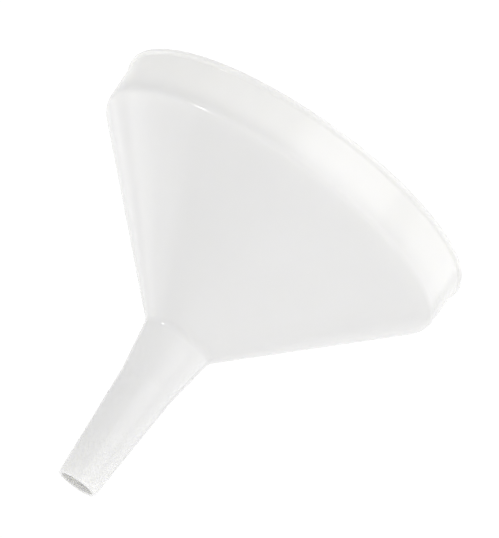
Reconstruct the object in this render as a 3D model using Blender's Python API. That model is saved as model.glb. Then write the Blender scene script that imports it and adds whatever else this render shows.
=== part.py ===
"""Plastic Buchner funnel: a one-piece turned body, a sealing ring on its inner ledge, and a perforated plate.

Run with: blender --background --python part.py

Metres, +Z up, with the mouth up and the stem down. The origin is on the turning axis at the stem's root,
where the cone begins. The ring and the plate lift out through the mouth along +Z.
"""

from math import cos, pi, radians, sin, sqrt, tan

import bmesh
import bpy
from mathutils import Matrix, Vector

MM = 0.001

# Outside of the body, from the mouth down to the stem's tip.
MOUTH_DIAMETER = 200.0 * MM
COLLAR_TOP_DIAMETER = 197.6 * MM
SHOULDER_DIAMETER = 196.0 * MM
STEM_ROOT_DIAMETER = 38.0 * MM
STEM_KNEE_DIAMETER = 29.4 * MM
STEM_TIP_DIAMETER = 21.2 * MM
LIP_HEIGHT = 1.8 * MM
LIP_SLOPE_HEIGHT = 1.2 * MM
COLLAR_HEIGHT = 24.4 * MM
CONE_HEIGHT = 79.8 * MM
UPPER_STEM_LENGTH = 27.2 * MM
LOWER_STEM_LENGTH = 60.5 * MM

# Walls, inner ledge and rounded edges of the body.
WALL = 2.2 * MM
STEM_WALL = 1.9 * MM
MOUTH_INNER_DIAMETER = 193.0 * MM
LEDGE_OUTER_DIAMETER = 191.4 * MM
LEDGE_WIDTH = 4.0 * MM
LEDGE_ABOVE_SHOULDER = 0.8 * MM
LIP_RADIUS = 0.7 * MM
SHOULDER_RADIUS = 6.0 * MM
ROOT_RADIUS = 8.0 * MM
KNEE_RADIUS = 40.0 * MM
TIP_RADIUS = 0.4 * MM

# Sealing ring and plate.
GAP = 0.3 * MM
RING_THICKNESS = 1.2 * MM
PLATE_DIAMETER = 190.4 * MM
PLATE_THICKNESS = 3.5 * MM
PLATE_EDGE_BEVEL = 0.4 * MM
HOLE_DIAMETER = 3.2 * MM
HOLE_ROW_PITCH = 12.4 * MM
HOLE_ROWS = 7
HOLES_PER_ROW_STEP = 6
RIB_COUNT = 6
RIB_WIDTH = 2.0 * MM
RIB_DEPTH = 3.5 * MM
RIB_BITE = 1.0 * MM
RIB_START_RADIUS = 3.5 * MM
RIB_END_RADIUS = 87.0 * MM
HUB_RADIUS = 6.0 * MM
RING_RIB_RADIUS = 4.5 * HOLE_ROW_PITCH

# Fineness of the round shapes.
ROUND_STEPS = 72
HOLE_STEPS = 8
ARC_STEPS = 2
SHARP_ANGLE = radians(35)

# Heights along the axis.
RIM_Z = CONE_HEIGHT + COLLAR_HEIGHT
KNEE_Z = -UPPER_STEM_LENGTH
TIP_Z = KNEE_Z - LOWER_STEM_LENGTH
LEDGE_Z = CONE_HEIGHT + LEDGE_ABOVE_SHOULDER
RING_Z = LEDGE_Z + GAP
PLATE_Z = RING_Z + RING_THICKNESS + GAP


def clear_scene():
    for obj in list(bpy.data.objects):
        bpy.data.objects.remove(obj)


def plastic(name, colour, roughness):
    material = bpy.data.materials.new(name)
    material.use_nodes = True
    shader = material.node_tree.nodes["Principled BSDF"]
    shader.inputs["Base Color"].default_value = (*colour, 1.0)
    shader.inputs["Roughness"].default_value = roughness
    shader.inputs["Metallic"].default_value = 0.0
    return material


def rounded(before, corner, after, radius):
    """The arc that rounds a corner of an outline, as points from the side of before to the side of after."""
    to_before = (before - corner).normalized()
    to_after = (after - corner).normalized()
    half_angle = to_before.angle(to_after) / 2
    centre = corner + (to_before + to_after).normalized() * radius / sin(half_angle)
    reach = radius / tan(half_angle)
    start = (corner + to_before * reach - centre).normalized()
    end = (corner + to_after * reach - centre).normalized()
    return [centre + start.slerp(end, step / ARC_STEPS) * radius for step in range(ARC_STEPS + 1)]


def outline(corners):
    """Points of a closed outline whose corners are (distance from the axis, height, rounding radius)."""
    places = [Vector(corner[:2]) for corner in corners]
    points = []
    for index, (place, corner) in enumerate(zip(places, corners)):
        if corner[2] > 0:
            points += rounded(places[index - 1], place, places[(index + 1) % len(places)], corner[2])
        else:
            points.append(place)
    return points


def cone_inside_height(radius):
    """The height at which the inside of the cone has this radius."""
    root = STEM_ROOT_DIAMETER / 2
    slope = (SHOULDER_DIAMETER / 2 - root) / CONE_HEIGHT
    return (radius - root + WALL * sqrt(1 + slope**2)) / slope


def body_corners():
    mouth = MOUTH_DIAMETER / 2
    knee = STEM_KNEE_DIAMETER / 2
    tip = STEM_TIP_DIAMETER / 2
    ledge_outer = LEDGE_OUTER_DIAMETER / 2
    ledge_inner = ledge_outer - LEDGE_WIDTH
    bore_root = STEM_ROOT_DIAMETER / 2 - STEM_WALL
    lip_low_z = RIM_Z - LIP_HEIGHT
    return [
        (mouth, RIM_Z, LIP_RADIUS),
        (mouth, lip_low_z, LIP_RADIUS),
        (COLLAR_TOP_DIAMETER / 2, lip_low_z - LIP_SLOPE_HEIGHT, 0),
        (SHOULDER_DIAMETER / 2, CONE_HEIGHT, SHOULDER_RADIUS),
        (STEM_ROOT_DIAMETER / 2, 0, ROOT_RADIUS),
        (knee, KNEE_Z, KNEE_RADIUS),
        (tip, TIP_Z, TIP_RADIUS),
        (tip - STEM_WALL, TIP_Z, 0),
        (knee - STEM_WALL, KNEE_Z, 0),
        (bore_root, cone_inside_height(bore_root), ROOT_RADIUS),
        (ledge_inner, cone_inside_height(ledge_inner), 0),
        (ledge_inner, LEDGE_Z, 0),
        (ledge_outer, LEDGE_Z, 0),
        (MOUTH_INNER_DIAMETER / 2, RIM_Z, LIP_RADIUS),
    ]


def ring_corners(inner, outer, low, high):
    return [(outer, high, 0), (outer, low, 0), (inner, low, 0), (inner, high, 0)]


def turn(mesh_edit, corners):
    """Turns a closed outline once round the Z axis."""
    verts = [mesh_edit.verts.new((point.x, 0, point.y)) for point in outline(corners)]
    edges = [mesh_edit.edges.new((vert, verts[index - 1])) for index, vert in enumerate(verts)]
    bmesh.ops.spin(
        mesh_edit,
        geom=verts + edges,
        axis=(0, 0, 1),
        cent=(0, 0, 0),
        angle=2 * pi,
        steps=ROUND_STEPS,
        use_merge=True,
    )


def hole_places():
    """The holes' centres: each row out has six more, set half a pitch off the lines of the ribs."""
    for row in range(1, HOLE_ROWS + 1):
        count = HOLES_PER_ROW_STEP * row
        for index in range(count):
            angle = (index + 0.5) * 2 * pi / count
            radius = row * HOLE_ROW_PITCH
            yield Vector((radius * cos(angle), radius * sin(angle), 0))


def perforate(mesh_edit):
    """The plate without its ribs, standing on Z = 0."""
    bmesh.ops.create_circle(mesh_edit, segments=ROUND_STEPS, radius=PLATE_DIAMETER / 2)
    for place in hole_places():
        bmesh.ops.create_circle(
            mesh_edit,
            segments=HOLE_STEPS,
            radius=HOLE_DIAMETER / 2,
            matrix=Matrix.Translation(place),
        )
    bmesh.ops.triangle_fill(mesh_edit, use_beauty=True, edges=mesh_edit.edges[:])
    raised = bmesh.ops.extrude_face_region(mesh_edit, geom=mesh_edit.faces[:])["geom"]
    top = [item for item in raised if isinstance(item, bmesh.types.BMVert)]
    bmesh.ops.translate(mesh_edit, verts=top, vec=(0, 0, PLATE_THICKNESS))
    bevel_rim(mesh_edit)


def bevel_rim(mesh_edit):
    """Chamfers the plate's outer edge, top and bottom."""
    almost_outside = PLATE_DIAMETER / 2 - HOLE_DIAMETER
    rim_edges = []
    for edge in mesh_edit.edges:
        first, second = (vert.co for vert in edge.verts)
        outside = min(first.xy.length, second.xy.length) > almost_outside
        if outside and first.z == second.z and len(edge.link_faces) == 2:
            rim_edges.append(edge)
    bmesh.ops.bevel(
        mesh_edit,
        geom=rim_edges,
        offset=PLATE_EDGE_BEVEL,
        segments=1,
        profile=0.5,
        affect="EDGES",
    )


def add_spokes(mesh_edit):
    """The radial ribs under the plate, each a bar along the line of a multiple of sixty degrees."""
    length = RIB_END_RADIUS - RIB_START_RADIUS
    height = RIB_DEPTH + RIB_BITE
    for index in range(RIB_COUNT):
        turned = Matrix.Rotation(index * 2 * pi / RIB_COUNT, 4, "Z")
        place = Matrix.Translation((RIB_START_RADIUS + length / 2, 0, RIB_BITE - height / 2))
        size = Matrix.Diagonal((length, RIB_WIDTH, height, 1))
        bmesh.ops.create_cube(mesh_edit, size=1, matrix=turned @ place @ size)


def add_round_ribs(mesh_edit):
    """The hub in which the radial ribs meet, and the round rib that crosses them."""
    height = RIB_DEPTH + RIB_BITE
    bmesh.ops.create_cone(
        mesh_edit,
        cap_ends=True,
        segments=ROUND_STEPS // 3,
        radius1=HUB_RADIUS,
        radius2=HUB_RADIUS,
        depth=height,
        matrix=Matrix.Translation((0, 0, RIB_BITE - height / 2)),
    )
    inner = RING_RIB_RADIUS - RIB_WIDTH / 2
    turn(mesh_edit, ring_corners(inner, inner + RIB_WIDTH, -RIB_DEPTH, RIB_BITE))


def build(name, shape, material=None, parent=None, height=0.0):
    """An object whose mesh a shape function fills in, standing at a height in the world."""
    mesh_edit = bmesh.new()
    shape(mesh_edit)
    bmesh.ops.recalc_face_normals(mesh_edit, faces=mesh_edit.faces[:])
    mesh = bpy.data.meshes.new(name)
    mesh_edit.to_mesh(mesh)
    mesh_edit.free()
    mesh.shade_smooth()
    mesh.set_sharp_from_angle(angle=SHARP_ANGLE)
    if material:
        mesh.materials.append(material)
    obj = bpy.data.objects.new(name, mesh)
    bpy.context.scene.collection.objects.link(obj)
    obj.location.z = height
    if parent:
        bpy.context.view_layer.update()
        obj.parent = parent
        obj.matrix_parent_inverse = parent.matrix_world.inverted()
    return obj


def join_guide(plate, name, shape):
    """Joins a shape to the plate by a Boolean, from a guide object that isn't itself a piece."""
    guide = build(name, shape, parent=plate, height=PLATE_Z)
    guide.hide_render = True
    guide.display_type = "WIRE"
    join = plate.modifiers.new(name, "BOOLEAN")
    join.operation = "UNION"
    join.solver = "EXACT"
    join.object = guide


def make_body():
    material = plastic("natural_polypropylene", (0.90, 0.90, 0.89), 0.38)
    return build("funnel_body", lambda mesh_edit: turn(mesh_edit, body_corners()), material)


def make_ring(body):
    material = plastic("clear_silicone", (0.78, 0.79, 0.78), 0.45)
    outer = LEDGE_OUTER_DIAMETER / 2 - GAP
    inner = LEDGE_OUTER_DIAMETER / 2 - LEDGE_WIDTH + GAP
    corners = ring_corners(inner, outer, 0, RING_THICKNESS)
    return build("sealing_ring", lambda mesh_edit: turn(mesh_edit, corners), material, body, RING_Z)


def make_plate(ring):
    material = plastic("white_polypropylene", (0.93, 0.93, 0.92), 0.42)
    plate = build("perforated_plate", perforate, material, ring, PLATE_Z)
    join_guide(plate, "round_ribs_guide", add_round_ribs)
    join_guide(plate, "spokes_guide", add_spokes)
    return plate


def main():
    clear_scene()
    body = make_body()
    ring = make_ring(body)
    make_plate(ring)


main()
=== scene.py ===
"""Looks of the plastic Buchner funnel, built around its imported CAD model.

Metres, +Z up the turning axis, with the origin at the stem's root. The camera looks up at the funnel from
below the level of its cone, rolled so that the mouth leans to the right. The floor lies well below the
camera.
"""

from math import cos, pi, radians, sin, sqrt, tan

import bmesh
import bpy
from mathutils import Matrix, Vector


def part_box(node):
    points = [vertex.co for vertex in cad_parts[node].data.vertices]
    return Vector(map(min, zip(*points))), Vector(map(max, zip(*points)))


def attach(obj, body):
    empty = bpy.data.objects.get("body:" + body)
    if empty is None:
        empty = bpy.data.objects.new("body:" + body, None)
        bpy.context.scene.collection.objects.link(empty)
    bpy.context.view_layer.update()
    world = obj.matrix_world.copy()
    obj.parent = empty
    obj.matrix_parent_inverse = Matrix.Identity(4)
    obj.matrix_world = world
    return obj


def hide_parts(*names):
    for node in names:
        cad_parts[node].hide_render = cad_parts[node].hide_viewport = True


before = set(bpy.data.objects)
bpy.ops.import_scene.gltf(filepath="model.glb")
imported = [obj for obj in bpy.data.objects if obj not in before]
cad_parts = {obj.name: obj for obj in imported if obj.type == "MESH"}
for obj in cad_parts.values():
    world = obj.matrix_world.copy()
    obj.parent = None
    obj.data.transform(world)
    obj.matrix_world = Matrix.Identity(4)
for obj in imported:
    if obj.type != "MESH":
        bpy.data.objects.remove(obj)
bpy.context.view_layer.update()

MM = 0.001

# Camera: what it looks at, from how far in metres, how it is turned, and its lens in millimetres.
CAMERA_TARGET = Vector((8.4, 0, 51.4)) * MM
CAMERA_DISTANCE = 1.605
CAMERA_ELEVATION = radians(-15.93)
CAMERA_ROLL = radians(35.21)
CAMERA_LENS = 215.9

# Studio: each lamp is (name, azimuth, elevation, width, height, brightness), in degrees and metres, with
# azimuth 0 on the camera's side of the funnel and 90 towards +X. The room dims between the two elevations
# of the ceiling's edge.
FLOOR_Z = -3.0
FLOOR_SIZE = 30.0
FLOOR_GLOW = 0.56
BACKDROP_BRIGHTNESS = 1.05
ROOM_BRIGHTNESS = 0.835
CEILING_BRIGHTNESS = 0.03
CEILING_EDGE = (radians(38), radians(55))
LAMP_DISTANCE = 1.2
SOFT_LIGHTS = [
    ("key_softbox", 22, 9, 1.45, 0.75, 1.15),
    ("side_softbox", 103, 7, 1.3, 0.6, 0.62),
    ("left_softbox", -116, -31, 0.9, 0.75, 0.65),
    ("left_edge_softbox", -138, -17, 0.8, 0.7, 0.27),
    ("under_softbox", 0, -88, 0.8, 0.8, 0.2),
    ("top_softbox", 0, 88, 0.9, 0.9, 2.2),
    ("back_softbox", 180, 10, 1.6, 1.6, 0.17),
]
GLINT_LAMP = ("glint_lamp", -70, -22, 0.05, 0.12, 75.0)

# Body of the funnel, as the CAD model has it.
MOUTH_DIAMETER = 200.0 * MM
COLLAR_TOP_DIAMETER = 197.6 * MM
SHOULDER_DIAMETER = 196.0 * MM
STEM_ROOT_DIAMETER = 38.0 * MM
STEM_KNEE_DIAMETER = 29.4 * MM
STEM_TIP_DIAMETER = 21.2 * MM
LIP_HEIGHT = 1.8 * MM
COLLAR_HEIGHT = 24.4 * MM
CONE_HEIGHT = 79.8 * MM
UPPER_STEM_LENGTH = 27.2 * MM
LOWER_STEM_LENGTH = 60.5 * MM
WALL = 2.2 * MM
STEM_WALL = 1.9 * MM
MOUTH_INNER_DIAMETER = 193.0 * MM
LEDGE_OUTER_DIAMETER = 191.4 * MM
LEDGE_WIDTH = 4.0 * MM
LEDGE_ABOVE_SHOULDER = 0.8 * MM
LIP_SLOPE_HEIGHT = 1.2 * MM
LIP_RADIUS = 0.7 * MM
LIP_FOOT_RADIUS = 1.2 * MM
SHOULDER_RADIUS = 6.0 * MM
ROOT_RADIUS = 8.0 * MM
KNEE_RADIUS = 40.0 * MM
TIP_RADIUS = 0.4 * MM
INNER_EDGE_RADIUS = 0.5 * MM

# Sealing ring and plate, as the CAD model has them.
RING_WIDTH = 3.4 * MM
RING_EDGE_RADIUS = 0.25 * MM
HOLE_DIAMETER = 3.2 * MM
HOLE_CHAMFER = 0.45 * MM
HOLE_ROW_PITCH = 12.4 * MM
HOLE_ROWS = 7
HOLES_PER_ROW_STEP = 6
PLATE_THICKNESS = 3.5 * MM
PLATE_EDGE_BEVEL = 0.4 * MM
RIB_COUNT = 6
RIB_WIDTH = 2.0 * MM
RIB_BITE = 1.0 * MM
RIB_START_RADIUS = 3.5 * MM
RIB_END_RADIUS = 87.0 * MM
HUB_RADIUS = 6.0 * MM
RING_RIB_RADIUS = 4.5 * HOLE_ROW_PITCH

# Fineness of the round shapes.
ROUND_STEPS = 288
HOLE_STEPS = 24
ARC_STEPS = 8
SHARP_ANGLE = radians(35)

# Materials: how strongly they bend light, and between what values most of a noise texture lies.
POLYPROPYLENE_IOR = 1.49
SILICONE_IOR = 1.41
NOISE_REACH = (0.3, 0.7)


# Shapes

def rounded(before, corner, after, radius):
    """The arc that rounds a corner of an outline, as points from the side of before to the side of after."""
    to_before = (before - corner).normalized()
    to_after = (after - corner).normalized()
    half_angle = to_before.angle(to_after) / 2
    centre = corner + (to_before + to_after).normalized() * radius / sin(half_angle)
    reach = radius / tan(half_angle)
    start = (corner + to_before * reach - centre).normalized()
    end = (corner + to_after * reach - centre).normalized()
    return [centre + start.slerp(end, step / ARC_STEPS) * radius for step in range(ARC_STEPS + 1)]


def outline(corners):
    """Points of a closed outline whose corners are (distance from the axis, height, rounding radius)."""
    places = [Vector(corner[:2]) for corner in corners]
    points = []
    for index, (place, corner) in enumerate(zip(places, corners)):
        if corner[2] > 0:
            points += rounded(places[index - 1], place, places[(index + 1) % len(places)], corner[2])
        else:
            points.append(place)
    return points


def turn(mesh_edit, corners):
    """Turns a closed outline once round the Z axis."""
    verts = [mesh_edit.verts.new((point.x, 0, point.y)) for point in outline(corners)]
    edges = [mesh_edit.edges.new((vert, verts[index - 1])) for index, vert in enumerate(verts)]
    bmesh.ops.spin(
        mesh_edit,
        geom=verts + edges,
        axis=(0, 0, 1),
        cent=(0, 0, 0),
        angle=2 * pi,
        steps=ROUND_STEPS,
        use_merge=True,
    )


def cone_inside_height(radius):
    """The height at which the inside of the cone has this radius."""
    root = STEM_ROOT_DIAMETER / 2
    slope = (SHOULDER_DIAMETER / 2 - root) / CONE_HEIGHT
    return (radius - root + WALL * sqrt(1 + slope**2)) / slope


def body_corners():
    """The body's outline: down the outside from the lip to the stem's tip, and back up the inside."""
    rim_z = CONE_HEIGHT + COLLAR_HEIGHT
    lip_low_z = rim_z - LIP_HEIGHT
    lip_foot_z = lip_low_z - LIP_SLOPE_HEIGHT
    knee_z = -UPPER_STEM_LENGTH
    tip_z = knee_z - LOWER_STEM_LENGTH
    ledge_z = CONE_HEIGHT + LEDGE_ABOVE_SHOULDER
    mouth = MOUTH_DIAMETER / 2
    knee = STEM_KNEE_DIAMETER / 2
    tip = STEM_TIP_DIAMETER / 2
    ledge_outer = LEDGE_OUTER_DIAMETER / 2
    ledge_inner = ledge_outer - LEDGE_WIDTH
    bore_root = STEM_ROOT_DIAMETER / 2 - STEM_WALL
    return [
        (mouth, rim_z, LIP_RADIUS),
        (mouth, lip_low_z, LIP_RADIUS),
        (COLLAR_TOP_DIAMETER / 2, lip_foot_z, LIP_FOOT_RADIUS),
        (SHOULDER_DIAMETER / 2, CONE_HEIGHT, SHOULDER_RADIUS),
        (STEM_ROOT_DIAMETER / 2, 0, ROOT_RADIUS),
        (knee, knee_z, KNEE_RADIUS),
        (tip, tip_z, TIP_RADIUS),
        (tip - STEM_WALL, tip_z, TIP_RADIUS),
        (knee - STEM_WALL, knee_z, KNEE_RADIUS),
        (bore_root, cone_inside_height(bore_root), ROOT_RADIUS),
        (ledge_inner, cone_inside_height(ledge_inner), INNER_EDGE_RADIUS),
        (ledge_inner, ledge_z, INNER_EDGE_RADIUS),
        (ledge_outer, ledge_z, INNER_EDGE_RADIUS),
        (MOUTH_INNER_DIAMETER / 2, rim_z, LIP_RADIUS),
    ]


def ring_corners(inner, outer, low, high, radius):
    """The outline of a flat ring whose corners have this rounding radius."""
    return [(outer, high, radius), (outer, low, radius), (inner, low, radius), (inner, high, radius)]


def hole_places():
    """The holes' centres: each row out has six more, set half a pitch off the lines of the ribs."""
    for row in range(1, HOLE_ROWS + 1):
        count = HOLES_PER_ROW_STEP * row
        for index in range(count):
            angle = (index + 0.5) * 2 * pi / count
            radius = row * HOLE_ROW_PITCH
            yield Vector((radius * cos(angle), radius * sin(angle), 0))


def vert_ring(mesh_edit, centre, radius, height, steps):
    """A ring of verts round a centre at a height."""
    ring = []
    for step in range(steps):
        angle = 2 * pi * step / steps
        offset = Vector((radius * cos(angle), radius * sin(angle), height))
        ring.append(mesh_edit.verts.new(centre + offset))
    return ring


def bridge(mesh_edit, lower, upper):
    """Quads between two rings of verts."""
    for index in range(len(lower)):
        corners = (lower[index - 1], lower[index], upper[index], upper[index - 1])
        mesh_edit.faces.new(corners)


def ring_edges(mesh_edit, ring):
    """The edges between the neighbouring verts of a ring."""
    return [mesh_edit.edges.get((ring[index - 1], ring[index])) for index in range(len(ring))]


def perforate(mesh_edit, radius, low, high):
    """The plate without its ribs, its edge and holes chamfered, and the holes less below than above."""
    bevel = PLATE_EDGE_BEVEL
    hole = HOLE_DIAMETER / 2
    low_chamfer = HOLE_CHAMFER / 2
    centre = Vector((0, 0, 0))
    edge_profile = [
        (radius - bevel, low),
        (radius, low + bevel),
        (radius, high - bevel),
        (radius - bevel, high),
    ]
    hole_profile = [
        (hole + low_chamfer, low),
        (hole, low + low_chamfer),
        (hole, high - HOLE_CHAMFER),
        (hole + HOLE_CHAMFER, high),
    ]
    walls = [(centre, edge_profile, ROUND_STEPS)]
    walls += [(place, hole_profile, HOLE_STEPS) for place in hole_places()]
    bottom_edges = []
    top_edges = []
    for place, profile, steps in walls:
        rings = [
            vert_ring(mesh_edit, place, wall_radius, height, steps)
            for wall_radius, height in profile
        ]
        for lower, upper in zip(rings, rings[1:]):
            bridge(mesh_edit, lower, upper)
        bottom_edges += ring_edges(mesh_edit, rings[0])
        top_edges += ring_edges(mesh_edit, rings[-1])
    bmesh.ops.triangle_fill(mesh_edit, use_beauty=True, edges=bottom_edges)
    bmesh.ops.triangle_fill(mesh_edit, use_beauty=True, edges=top_edges)


def add_spokes(mesh_edit, low, high):
    """The radial ribs under the plate: bars at equal angles round the axis, the first along +X."""
    length = RIB_END_RADIUS - RIB_START_RADIUS
    for index in range(RIB_COUNT):
        turned = Matrix.Rotation(index * 2 * pi / RIB_COUNT, 4, "Z")
        place = Matrix.Translation((RIB_START_RADIUS + length / 2, 0, (low + high) / 2))
        size = Matrix.Diagonal((length, RIB_WIDTH, high - low, 1))
        bmesh.ops.create_cube(mesh_edit, size=1, matrix=turned @ place @ size)


def add_round_ribs(mesh_edit, low, high):
    """The hub in which the radial ribs meet, and the round rib that crosses them."""
    bmesh.ops.create_cone(
        mesh_edit,
        cap_ends=True,
        segments=ROUND_STEPS // 4,
        radius1=HUB_RADIUS,
        radius2=HUB_RADIUS,
        depth=high - low,
        matrix=Matrix.Translation((0, 0, (low + high) / 2)),
    )
    inner = RING_RIB_RADIUS - RIB_WIDTH / 2
    turn(mesh_edit, ring_corners(inner, inner + RIB_WIDTH, low, high, 0))


def shape_object(name, shape):
    """An object whose mesh a shape function fills in."""
    mesh_edit = bmesh.new()
    shape(mesh_edit)
    bmesh.ops.recalc_face_normals(mesh_edit, faces=mesh_edit.faces[:])
    mesh = bpy.data.meshes.new(name)
    mesh_edit.to_mesh(mesh)
    mesh_edit.free()
    obj = bpy.data.objects.new(name, mesh)
    bpy.context.scene.collection.objects.link(obj)
    return obj


def smooth(obj):
    """Shades an object smooth, apart from its sharp edges."""
    obj.data.shade_smooth()
    obj.data.set_sharp_from_angle(angle=SHARP_ANGLE)


def join_shape(obj, shape):
    """Joins a shape to an object by a Boolean, which is applied, and removes the shape's own object."""
    guide = shape_object("guide", shape)
    modifier = obj.modifiers.new("join", "BOOLEAN")
    modifier.operation = "UNION"
    modifier.solver = "EXACT"
    modifier.object = guide
    bpy.context.view_layer.update()
    evaluated = obj.evaluated_get(bpy.context.evaluated_depsgraph_get())
    joined = bpy.data.meshes.new_from_object(evaluated)
    obj.modifiers.remove(modifier)
    obj.data = joined
    bpy.data.objects.remove(guide)


# Materials

class Surface:
    """A material's node tree, with its Principled shader and short ways to add the nodes that vary it."""

    def __init__(self, name, colour, **sockets):
        self.material = bpy.data.materials.new(name)
        self.material.use_nodes = True
        self.tree = self.material.node_tree
        self.shader = self.tree.nodes["Principled BSDF"]
        self.place = self.add("ShaderNodeTexCoord").outputs["Object"]
        self.shader.inputs["Base Color"].default_value = (*colour, 1)
        for socket, value in sockets.items():
            self.shader.inputs[socket.replace("_", " ")].default_value = value

    def add(self, kind):
        return self.tree.nodes.new(kind)

    def link(self, output, socket):
        self.tree.links.new(output, socket)

    def noise(self, scale, detail=2.0):
        """Noise whose grains are about 1 / scale metres across."""
        texture = self.add("ShaderNodeTexNoise")
        texture.inputs["Scale"].default_value = scale
        texture.inputs["Detail"].default_value = detail
        self.link(self.place, texture.inputs["Vector"])
        return texture.outputs["Fac"]

    def vary_colour(self, driver, low, high):
        ramp = self.add("ShaderNodeValToRGB")
        for element, position, colour in zip(ramp.color_ramp.elements, NOISE_REACH, (low, high)):
            element.position = position
            element.color = (*colour, 1)
        self.link(driver, ramp.inputs["Fac"])
        self.link(ramp.outputs["Color"], self.shader.inputs["Base Color"])

    def vary_roughness(self, driver, low, high):
        spread = self.add("ShaderNodeMapRange")
        spread.inputs["From Min"].default_value = NOISE_REACH[0]
        spread.inputs["From Max"].default_value = NOISE_REACH[1]
        spread.inputs["To Min"].default_value = low
        spread.inputs["To Max"].default_value = high
        self.link(driver, spread.inputs["Value"])
        self.link(spread.outputs["Result"], self.shader.inputs["Roughness"])

    def bump(self, *layers):
        """Raises the surface by layers of (driver, height in metres), the first lowest."""
        below = None
        for driver, height in layers:
            node = self.add("ShaderNodeBump")
            node.inputs["Strength"].default_value = 1.0
            node.inputs["Distance"].default_value = height
            self.link(driver, node.inputs["Height"])
            if below:
                self.link(below.outputs["Normal"], node.inputs["Normal"])
            below = node
        self.link(below.outputs["Normal"], self.shader.inputs["Normal"])


def natural_plastic():
    """Natural polypropylene: milky, lets light through a little, with a soft moulded sheen."""
    surface = Surface(
        "natural_polypropylene",
        (0.855, 0.852, 0.842),
        IOR=POLYPROPYLENE_IOR,
        Subsurface_Weight=1.0,
        Subsurface_Radius=(1.0, 1.0, 0.95),
        Subsurface_Scale=3.0 * MM,
        Subsurface_Anisotropy=0.3,
    )
    surface.vary_colour(surface.noise(18.0, detail=3.0), (0.845, 0.842, 0.832), (0.865, 0.862, 0.852))
    surface.vary_roughness(surface.noise(45.0, detail=4.0), 0.16, 0.20)
    surface.bump((surface.noise(30.0), 0.10 * MM), (surface.noise(900.0), 0.004 * MM))
    return surface.material


def plate_plastic():
    """White polypropylene, denser than the body's."""
    surface = Surface(
        "white_polypropylene",
        (0.92, 0.92, 0.91),
        IOR=POLYPROPYLENE_IOR,
        Subsurface_Weight=1.0,
        Subsurface_Radius=(1.0, 1.0, 0.95),
        Subsurface_Scale=1.5 * MM,
    )
    surface.vary_colour(surface.noise(25.0, detail=3.0), (0.91, 0.91, 0.895), (0.93, 0.93, 0.92))
    surface.vary_roughness(surface.noise(60.0, detail=4.0), 0.34, 0.46)
    surface.bump((surface.noise(40.0), 0.05 * MM), (surface.noise(1200.0), 0.006 * MM))
    return surface.material


def clear_silicone():
    """Translucent silicone rubber, dull and faintly grey."""
    surface = Surface(
        "clear_silicone",
        (0.80, 0.81, 0.80),
        IOR=SILICONE_IOR,
        Subsurface_Weight=1.0,
        Subsurface_Radius=(1.0, 1.0, 1.0),
        Subsurface_Scale=3.0 * MM,
    )
    surface.vary_colour(surface.noise(80.0, detail=3.0), (0.78, 0.79, 0.78), (0.83, 0.84, 0.83))
    surface.vary_roughness(surface.noise(150.0, detail=4.0), 0.42, 0.58)
    surface.bump((surface.noise(1500.0, detail=3.0), 0.01 * MM))
    return surface.material


def floor_paint():
    """Pale paint with a glow of its own, since the ceiling is too dim to light the floor."""
    surface = Surface("floor_paint", (0.9, 0.9, 0.9), Roughness=0.8, Emission_Strength=FLOOR_GLOW)
    surface.vary_colour(surface.noise(0.6), (0.89, 0.89, 0.89), (0.91, 0.91, 0.91))
    return surface.material


# Pieces

def finish_piece(obj, material, body, node):
    """Gives a piece its material and shading, ties it to its body, and hides the CAD part it stands in for.
    """
    obj.data.materials.clear()
    obj.data.materials.append(material)
    smooth(obj)
    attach(obj, body)
    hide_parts(node)


def make_body():
    shell = shape_object("funnel_shell", lambda mesh_edit: turn(mesh_edit, body_corners()))
    finish_piece(shell, natural_plastic(), "funnel", "funnel_body")


def make_ring():
    low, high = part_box("sealing_ring")
    corners = ring_corners(high.x - RING_WIDTH, high.x, low.z, high.z, RING_EDGE_RADIUS)
    seal = shape_object("silicone_seal", lambda mesh_edit: turn(mesh_edit, corners))
    finish_piece(seal, clear_silicone(), "ring", "sealing_ring")


def make_plate():
    low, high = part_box("perforated_plate")
    underside = high.z - PLATE_THICKNESS
    rib_top = underside + RIB_BITE
    plate = shape_object(
        "filter_plate",
        lambda mesh_edit: perforate(mesh_edit, high.x, underside, high.z),
    )
    join_shape(plate, lambda mesh_edit: add_round_ribs(mesh_edit, low.z, rib_top))
    join_shape(plate, lambda mesh_edit: add_spokes(mesh_edit, low.z, rib_top))
    finish_piece(plate, plate_plastic(), "plate", "perforated_plate")


# Studio

def direction(azimuth, elevation):
    """The unit vector out from the funnel at an azimuth and elevation in radians."""
    return Vector((sin(azimuth) * cos(elevation), -cos(azimuth) * cos(elevation), sin(elevation)))


def make_camera():
    camera = bpy.data.objects.new("camera", bpy.data.cameras.new("camera"))
    bpy.context.scene.collection.objects.link(camera)
    bpy.context.scene.camera = camera
    camera.data.lens = CAMERA_LENS
    back = direction(0, CAMERA_ELEVATION)
    level = back.to_track_quat("Z", "Y").to_matrix().to_4x4()
    place = Matrix.Translation(CAMERA_TARGET + back * CAMERA_DISTANCE)
    camera.matrix_world = place @ level @ Matrix.Rotation(CAMERA_ROLL, 4, "Z")


def make_lamp(name, azimuth, elevation, width, height, brightness):
    """A flat lamp that faces the camera's target, with its brightness counted per area of its face."""
    light = bpy.data.lights.new(name, "AREA")
    light.shape = "RECTANGLE"
    light.size = width
    light.size_y = height
    light.energy = brightness * pi * width * height
    lamp = bpy.data.objects.new(name, light)
    bpy.context.scene.collection.objects.link(lamp)
    outward = direction(radians(azimuth), radians(elevation))
    lamp.location = CAMERA_TARGET + outward * LAMP_DISTANCE
    lamp.rotation_mode = "QUATERNION"
    lamp.rotation_quaternion = outward.to_track_quat("Z", "Y")
    lamp.visible_camera = False
    return lamp


def make_lights():
    """The soft lights, and the glint lamp, seen only in reflections such as the mark on the shoulder."""
    for soft_light in SOFT_LIGHTS:
        make_lamp(*soft_light)
    glint_lamp = make_lamp(*GLINT_LAMP)
    glint_lamp.visible_diffuse = False


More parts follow.
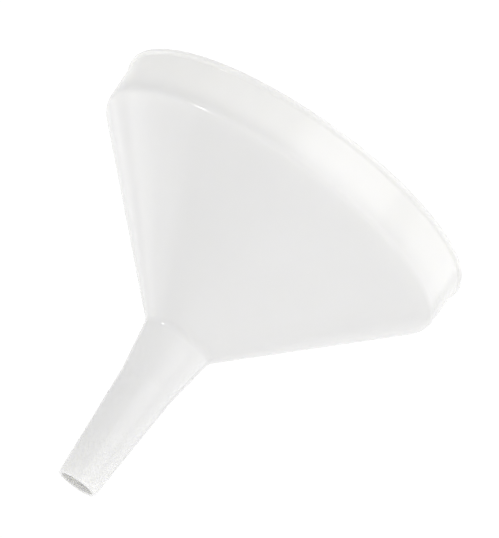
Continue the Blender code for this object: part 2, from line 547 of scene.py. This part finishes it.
def make_room():
    """A bright room with a dim ceiling, for light and reflections.

    The camera itself sees a plain white backdrop.
    """
    world = bpy.data.worlds.new("studio")
    bpy.context.scene.world = world
    world.use_nodes = True
    tree = world.node_tree
    place = tree.nodes.new("ShaderNodeTexCoord")
    height = tree.nodes.new("ShaderNodeSeparateXYZ")
    brightness = tree.nodes.new("ShaderNodeMapRange")
    brightness.interpolation_type = "SMOOTHSTEP"
    brightness.inputs["From Min"].default_value = sin(CEILING_EDGE[0])
    brightness.inputs["From Max"].default_value = sin(CEILING_EDGE[1])
    brightness.inputs["To Min"].default_value = ROOM_BRIGHTNESS
    brightness.inputs["To Max"].default_value = CEILING_BRIGHTNESS
    backdrop = tree.nodes.new("ShaderNodeBackground")
    backdrop.inputs["Strength"].default_value = BACKDROP_BRIGHTNESS
    path = tree.nodes.new("ShaderNodeLightPath")
    mix = tree.nodes.new("ShaderNodeMixShader")
    studio = tree.nodes["Background"]
    for background in (studio, backdrop):
        background.inputs["Color"].default_value = (1, 1, 1, 1)
    tree.links.new(place.outputs["Generated"], height.inputs["Vector"])
    tree.links.new(height.outputs["Z"], brightness.inputs["Value"])
    tree.links.new(brightness.outputs["Result"], studio.inputs["Strength"])
    tree.links.new(path.outputs["Is Camera Ray"], mix.inputs["Fac"])
    tree.links.new(studio.outputs["Background"], mix.inputs[1])
    tree.links.new(backdrop.outputs["Background"], mix.inputs[2])
    tree.links.new(mix.outputs["Shader"], tree.nodes["World Output"].inputs["Surface"])


def make_floor():
    """The floor is only there to be seen: it leaves the room's light from below alone."""
    floor = shape_object(
        "floor",
        lambda mesh_edit: bmesh.ops.create_grid(mesh_edit, x_segments=1, y_segments=1, size=FLOOR_SIZE / 2),
    )
    floor.data.materials.append(floor_paint())
    floor.location.z = FLOOR_Z
    floor.visible_diffuse = False
    floor.visible_glossy = False
    floor.visible_shadow = False


make_camera()
make_body()
make_ring()
make_plate()
make_floor()
make_room()
make_lights()
bpy.context.scene.view_settings.view_transform = "Standard"    # so that white shows as white
